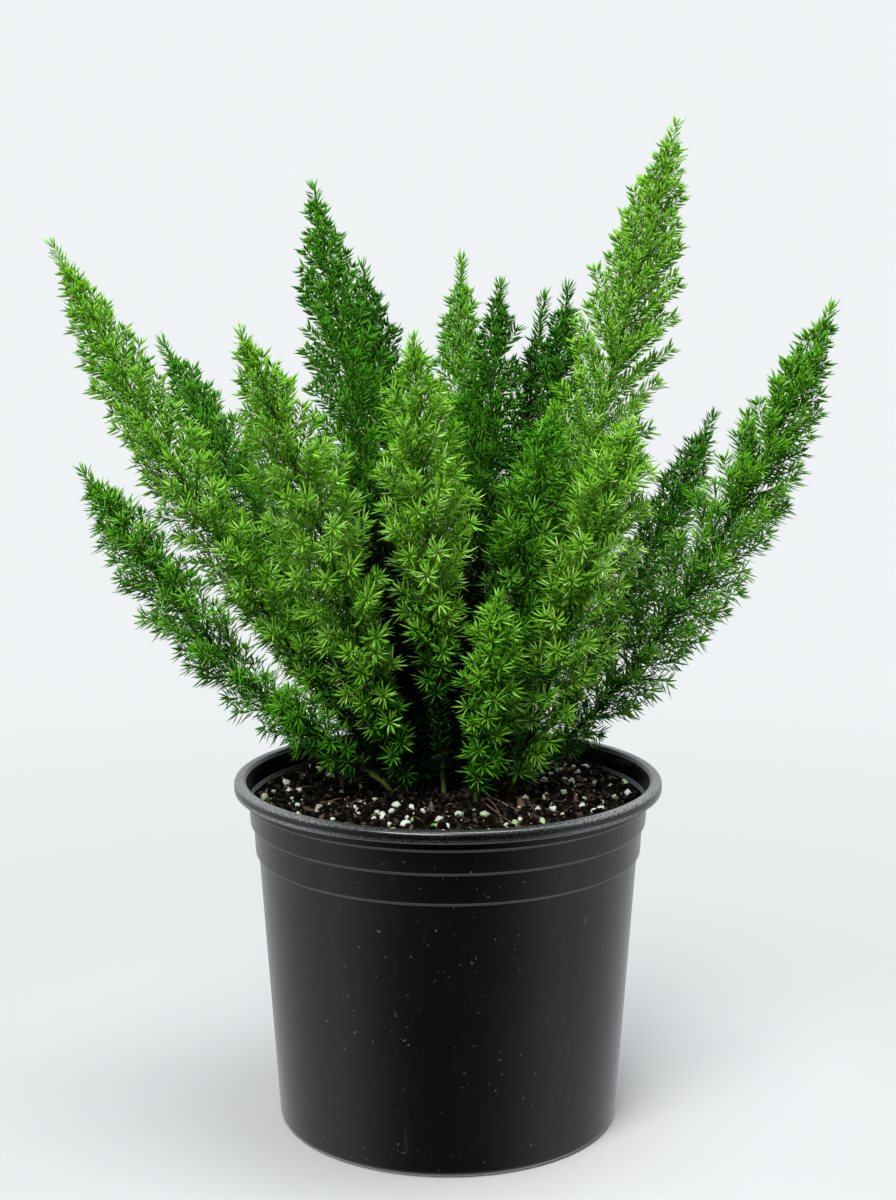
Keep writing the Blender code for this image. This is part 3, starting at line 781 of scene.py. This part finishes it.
def turned(profile, segments):
    """Points and faces of a solid of revolution whose profile starts and ends on the axis."""
    middle = [point for point in profile if point[0] > 1e-6]
    angles = 2 * math.pi * np.arange(segments) / segments
    radii = np.array([point[0] for point in middle])
    heights = np.array([point[1] for point in middle])
    points = np.stack((np.outer(radii, np.cos(angles)), np.outer(radii, np.sin(angles)),
                       np.outer(heights, np.ones(segments))), 2).reshape(-1, 3)
    points = np.vstack((points, [(0.0, 0.0, profile[0][1]), (0.0, 0.0, profile[-1][1])]))
    return points, skin_faces(len(middle), segments)[:, ::-1]


def make_pot(finish):
    points, faces = turned(pot_profile(), POT_SEGMENTS)
    pot = mesh_piece("turned_pot", points, faces, finish)
    holes = bmesh.new()
    for k in range(DRAIN_HOLES):
        angle = 2 * math.pi * (k + 0.5) / DRAIN_HOLES
        place = (DRAIN_CIRCLE * math.cos(angle), DRAIN_CIRCLE * math.sin(angle), 0)
        made = bmesh.ops.create_cone(holes, cap_ends=True, segments=40, depth=12 * MM,
                                     radius1=DRAIN_RADIUS, radius2=DRAIN_RADIUS)
        bmesh.ops.translate(holes, vec=place, verts=made["verts"])
    cutter_mesh = bpy.data.meshes.new("drain_holes")
    holes.to_mesh(cutter_mesh)
    holes.free()
    cutter = bpy.data.objects.new("drain_holes", cutter_mesh)
    bpy.context.scene.collection.objects.link(cutter)
    cut = pot.modifiers.new("drain holes", "BOOLEAN")
    cut.operation = "DIFFERENCE"
    cut.object = cutter
    bpy.context.view_layer.update()
    evaluated = pot.evaluated_get(bpy.context.evaluated_depsgraph_get())
    mesh = bpy.data.meshes.new_from_object(evaluated)
    pot.modifiers.clear()
    pot.data = mesh
    bpy.data.objects.remove(cutter)
    mesh.shade_smooth()
    mesh.set_sharp_from_angle(angle=math.radians(50))
    settle(pot, "pot_plastic", "nursery_pot")


# ---- Soil ----

SOIL_RINGS = 56             # over its top
SOIL_SEGMENTS = 150
SOIL_GAP = 0.3 * MM         # between its side and the pot
# Radius and height of its surface from the middle outwards, in millimetres
SOIL_LINE = ((0.0, 177.6), (30.0, 176.9), (56.0, 174.2), (80.0, 171.9), (104.0, 168.8))
# Radius of the pot's inside and height, from its top edge down to its underside
SOIL_SIDE = ((101.4 * MM, RIM_Z - 14 * MM), (95.6 * MM, RIM_Z - 42 * MM), (87.4 * MM, 7 * MM),
             (84.2 * MM, 2.6 * MM))
LOOSE_MARGIN = 2.5 * MM     # between the loose bits and the wall
FLAT = np.array((1.3, 0.6, 0.35))
ROUND = np.array((1.0, 0.9, 0.8))
# Loose bits: name, how many, nearest to the middle, least gap, ball's subdivisions, smallest and largest
# size, stretch, roughness, share sunk in, finish and slot
LOOSE = (
    ("peat_crumbs", 2400, 0.0, 0.0, 1, 1.6, 6.0, ROUND, 0.9, 0.35, "peat", "potting_mix"),
    ("bark_bits", 230, 30, 2, 1, 2.0, 7.0, FLAT, 0.7, 0.25, "bark", "crown_bark"),
    ("perlite_grains", 190, 45, 4.6, 2, 2.2, 5.0, ROUND, 0.75, 0.28, "perlite", "potting_mix"),
    ("perlite_dust", 220, 40, 2, 1, 0.8, 1.8, ROUND, 0.4, 0.2, "perlite", "potting_mix"),
    ("green_bits", 12, 66, 12, 1, 3.0, 5.0, FLAT, 0.6, 0.1, "leaf_bit", "needles"),
)
FAN_ANGLES = (-66, -60, -55, -49, -41)      # of the long fibres from the crown, in degrees
LOOSE_FIBRES = 90


def soil_height(x, y):
    """The soil's surface: mounded to the crown, with soft unevenness."""
    radius = math.hypot(x, y) / MM
    low = np.interp(radius, [p[0] for p in SOIL_LINE], [p[1] for p in SOIL_LINE]) * MM
    wave = noise.noise(Vector((x, y, 0.3)) * 38.0) * 1.5 + noise.noise(Vector((x, y, 7.1)) * 120.0) * 0.9
    return low + wave * MM


def make_soil(finish):
    """The body of the soil: its uneven top, and sides and underside as the pot holds them."""
    turns = [2 * math.pi * k / SOIL_SEGMENTS for k in range(SOIL_SEGMENTS)]
    points = []
    for radius in np.linspace(4 * MM, SOIL_EDGE, SOIL_RINGS):
        for angle in turns:
            x, y = radius * math.cos(angle), radius * math.sin(angle)
            rough = noise.noise(Vector((x, y, 1.7)) * 420.0) * 0.7 * MM
            points.append((x, y, soil_height(x, y) + rough))
    for wide, height in SOIL_SIDE:
        radius = wide - SOIL_GAP
        points += [(radius * math.cos(angle), radius * math.sin(angle), height) for angle in turns]
    points += [(0.0, 0.0, soil_height(0.0, 0.0)), (0.0, 0.0, SOIL_SIDE[-1][1])]
    faces = skin_faces(SOIL_RINGS + len(SOIL_SIDE), SOIL_SEGMENTS)[:, ::-1]
    soil = mesh_piece("soil_bed", np.array(points), faces, finish)
    settle(soil, "potting_mix", "potting_soil")


def lump_shape(subdivisions):
    """A unit ball's points and faces."""
    ball = bmesh.new()
    bmesh.ops.create_icosphere(ball, subdivisions=subdivisions, radius=1.0)
    points = np.array([vertex.co[:] for vertex in ball.verts])
    faces = np.array([[vertex.index for vertex in face.verts] for face in ball.faces])
    ball.free()
    return points, faces


def turned_at_random(rng, points):
    """The points turned by a random rotation."""
    axis = unit(rng.normal(size=3))
    angle = rng.uniform(0, 2 * math.pi)
    across = np.cross(axis, points)
    lengthwise = np.outer(points @ axis, axis)
    return points * math.cos(angle) + across * math.sin(angle) + lengthwise * (1 - math.cos(angle))


def spread(rng, count, radii, gap):
    """Places on the soil at least a gap apart, as far as that many fit."""
    places = []
    for k in range(count * 12):
        radius = math.sqrt(rng.uniform(radii[0] ** 2, radii[1] ** 2))
        angle = rng.uniform(0, 2 * math.pi)
        spot = np.array((radius * math.cos(angle), radius * math.sin(angle)))
        if gap == 0 or all(np.hypot(*(spot - other)) > gap for other in places):
            places.append(spot)
        if len(places) == count:
            break
    return places


def scatter(name, rng, places, shape, sizes, stretch, roughness, sunk, finish, slot):
    """Many small lumps on the soil, each with its own size, shape and turn, as one piece."""
    points, faces = shape
    all_points, all_faces = [], []
    for k, (x, y) in enumerate(places):
        size = (sizes[0] + (sizes[1] - sizes[0]) * rng.uniform() ** 1.6) / 2
        bumps = np.array([noise.noise(Vector(p) * 1.1 + Vector((k * 3.1, k * 1.7, 0.0))) for p in points])
        lump = points * (1 + roughness * bumps[:, None]) * (stretch + rng.uniform(-0.15, 0.15, 3)) * size
        lump = turned_at_random(rng, lump)
        low, high = lump[:, 2].min(), lump[:, 2].max()
        all_points.append(lump + (x, y, soil_height(x, y) - low - sunk * (high - low)))
        all_faces.append(faces + k * len(points))
    piece = mesh_piece(name, np.vstack(all_points), np.vstack(all_faces), finish)
    settle(piece, slot)


def make_fibres(rng, finish):
    """Thin roots and fibres lying on the soil, and a fan of longer ones from the crown to the front right."""
    parts, faces, count = [], [], 0
    fans = [(math.radians(angle), 0.034, 0.052) for angle in FAN_ANGLES]
    loose = [(rng.uniform(0, 2 * math.pi), rng.uniform(0.048, 0.098), rng.uniform(0.006, 0.020))
             for k in range(LOOSE_FIBRES)]
    for k, (angle, radius, length) in enumerate(fans + loose):
        fan = k < len(fans)
        start = np.array((radius * math.cos(angle), radius * math.sin(angle)))
        heading = angle + (rng.normal(0, 0.06) if fan else rng.uniform(0, 2 * math.pi))
        steps = 9
        spots = []
        for j in range(steps):
            heading += rng.normal(0, 0.06 if fan else 0.22)
            spots.append(start.copy())
            start = start + np.array((math.cos(heading), math.sin(heading))) * length / steps
        spots = [s for s in spots if np.hypot(*s) < SOIL_EDGE - 2 * MM]
        if len(spots) < 3:
            continue
        thick = rng.uniform(0.35, 0.6) * MM if fan else rng.uniform(0.18, 0.38) * MM
        lift = np.sin(np.linspace(0, math.pi, len(spots))) * rng.uniform(0.3, 1.8) * MM + thick
        line = np.array([(s[0], s[1], soil_height(*s)) for s in spots]) + lift[:, None] * (0.0, 0.0, 1.0)
        points, own = rod(line, thick * np.linspace(1.0, 0.5, len(line)), 6)
        parts.append(points)
        faces.append(own + count)
        count += len(points)
    fibres = mesh_piece("root_fibres", np.vstack(parts), np.vstack(faces), finish)
    settle(fibres, "crown_bark")


def make_surface(finishes):
    """Everything loose on the soil."""
    rng = np.random.default_rng(7)
    edge = SOIL_EDGE - LOOSE_MARGIN
    for name, count, nearest, gap, ball, small, large, stretch, roughness, sunk, finish, slot in LOOSE:
        places = spread(rng, count, (nearest * MM, edge), gap * MM)
        scatter(name, rng, places, lump_shape(ball), (small * MM, large * MM), stretch, roughness, sunk,
                finishes[finish], slot)
    make_fibres(rng, finishes["fibre"])


def make_crown(finish):
    """The woody crown: a knobbly dome that just shows between the stems."""
    points, faces = lump_shape(5)
    shaped = []
    for p in points:
        bump = noise.noise(Vector(p) * 6.0) * 0.05 + noise.noise(Vector(p) * 17.0) * 0.025
        flat = Vector((p[0], p[1], p[2])) * (1 + bump)
        shaped.append((flat.x * CROWN_RADIUS * 0.94, flat.y * CROWN_RADIUS * 0.94, flat.z))
    shaped = np.array(shaped)
    half = (CROWN_HIGH[2] - CROWN_LOW[2]) / 2
    shaped[:, 2] = CROWN_LOW[2] + half + np.sign(shaped[:, 2]) * np.abs(shaped[:, 2]) ** 0.7 * half * 0.96
    crown = mesh_piece("crown_wood", shaped, faces, finish)
    settle(crown, "crown_bark", "root_crown")


# ---- Studio ----

def stage_finish():
    """Pale paper: lit and shadowed near the pot; from close by it turns into a pale glow, which lightens the
    pot's shadow as painted light and is dimmer nearer the pot.
    """
    paint = Paint(bpy.data.materials.new("studio_paper"))
    paint.tree.nodes.clear()
    place = paint.node("ShaderNodeNewGeometry", output="Position")
    radius = paint.node("ShaderNodeVectorMath", {"operation": "LENGTH"}, {0: place}, output="Value")
    pale = paint.mix(radius.smooth(0.2, 1.3), (0.790, 0.820, 0.830), (0.865, 0.897, 0.912))
    glow = paint.node("ShaderNodeEmission", {}, {"Color": pale, "Strength": 1.0})
    paper = paint.node("ShaderNodeBsdfDiffuse", {}, {"Color": (0.50, 0.505, 0.51)})
    both = paint.node("ShaderNodeMixShader", {}, {0: radius.smooth(0.05, 0.42), 1: paper, 2: glow})
    paint.node("ShaderNodeOutputMaterial", {}, {0: both}, output=None)
    return paint.owner


STAGE_FLAT = 2.2            # radius of the flat part of the paper
STAGE_CURVE = 1.2           # radius at which it curves up
STAGE_TOP = 4.0


def make_stage():
    """A round sheet of pale paper that curves up all round, so every side has the same backdrop."""
    flat = [(STAGE_FLAT * t, 0.0) for t in np.linspace(0.0, 1.0, 12)]
    curve = arc((STAGE_FLAT, STAGE_CURVE), STAGE_CURVE, -90, 0, 14)[1:]
    profile = flat + curve + [(STAGE_FLAT + STAGE_CURVE, STAGE_TOP)]
    segments = 72
    angles = 2 * math.pi * np.arange(segments) / segments
    points = [(0.0, 0.0, 0.0)]
    for radius, height in profile[1:]:
        points += [(radius * math.cos(a), radius * math.sin(a), height) for a in angles]
    faces = [(0, 1 + k, 1 + (k + 1) % segments) for k in range(segments)]
    for j in range(len(profile) - 2):
        for k in range(segments):
            a, b = 1 + j * segments + k, 1 + j * segments + (k + 1) % segments
            faces += [(a, a + segments, b + segments), (a, b + segments, b)]
    sheet = mesh_piece("studio_sweep", np.array(points), np.array(faces), stage_finish())
    sheet.location.z = -0.2 * MM
    sheet.visible_diffuse = False
    sheet.visible_glossy = False


def make_air():
    """The light from all round: pale behind and at the sides, dim in front, pale again from the floor."""
    world = bpy.data.worlds.new("studio_air")
    bpy.context.scene.world = world
    paint = Paint(world)
    direction = paint.node("ShaderNodeTexCoord", output="Generated")
    across = paint.node("ShaderNodeSeparateXYZ", {}, {0: direction})
    behind = across.other(1).smooth(-0.95, -0.20)
    below = (across.other(2) * -1).smooth(0.62, 0.82)
    walls = paint.mix(behind, (0.012, 0.013, 0.014), (0.68, 0.71, 0.74))
    paint.join(paint.mix(below, walls, (1.50, 1.55, 1.60)), paint.tree.nodes["Background"].inputs["Color"])


def softbox(name, place, size, energy):
    light = bpy.data.lights.new(name, "AREA")
    light.shape = "RECTANGLE"
    light.size, light.size_y = size
    light.energy = energy
    lamp = bpy.data.objects.new(name, light)
    bpy.context.scene.collection.objects.link(lamp)
    lamp.location = place
    lamp.rotation_euler = (Vector((0.0, 0.0, 0.25)) - Vector(place)).to_track_quat("-Z", "Y").to_euler()
    lamp.visible_camera = False


def make_lights():
    softbox("key_box", (-0.45, -1.15, 1.45), (0.9, 0.7), 38.0)
    softbox("top_box", (0.30, 0.10, 1.75), (0.9, 0.9), 24.0)
    make_air()


CAMERA_PITCH = 9.3          # degrees below level
CAMERA_DISTANCE = 1.0147    # in front of the pot's middle
CAMERA_RISE = 0.2581        # above the rim
CAMERA_LENS = 60.0          # millimetres, on a sensor of the next width
CAMERA_SENSOR = 36.0


def make_camera():
    lens = bpy.data.cameras.new("camera")
    lens.lens = CAMERA_LENS
    lens.sensor_width = CAMERA_SENSOR
    camera = bpy.data.objects.new("camera", lens)
    bpy.context.scene.collection.objects.link(camera)
    camera.location = (0.0, -CAMERA_DISTANCE, RIM_Z + CAMERA_RISE)
    camera.rotation_euler = (math.radians(90.0 - CAMERA_PITCH), 0.0, 0.0)
    bpy.context.scene.camera = camera


def main():
    finishes = {
        "peat": peat_finish(),
        "perlite": perlite_finish(),
        "bark": brown_finish("bark_brown", (0.020, 0.014, 0.009), (0.110, 0.076, 0.046)),
        "fibre": brown_finish("fibre_brown", (0.050, 0.034, 0.020), (0.200, 0.140, 0.085)),
        "leaf_bit": leaf_bit_finish(),
    }
    needles, stalk = needle_finish(), stalk_finish()
    make_camera()
    make_stage()
    make_lights()
    for index, name in enumerate(PLUMES):
        line = make_plume(name, index, needles)
        make_stalk(name, line, stalk)
    make_inner_growth(needles)
    make_pot(pot_finish())
    make_soil(finishes["peat"])
    make_crown(brown_finish("crown_brown", (0.008, 0.006, 0.004), (0.030, 0.021, 0.013)))
    make_surface(finishes)
    bpy.context.scene.view_settings.view_transform = "Standard"


main()
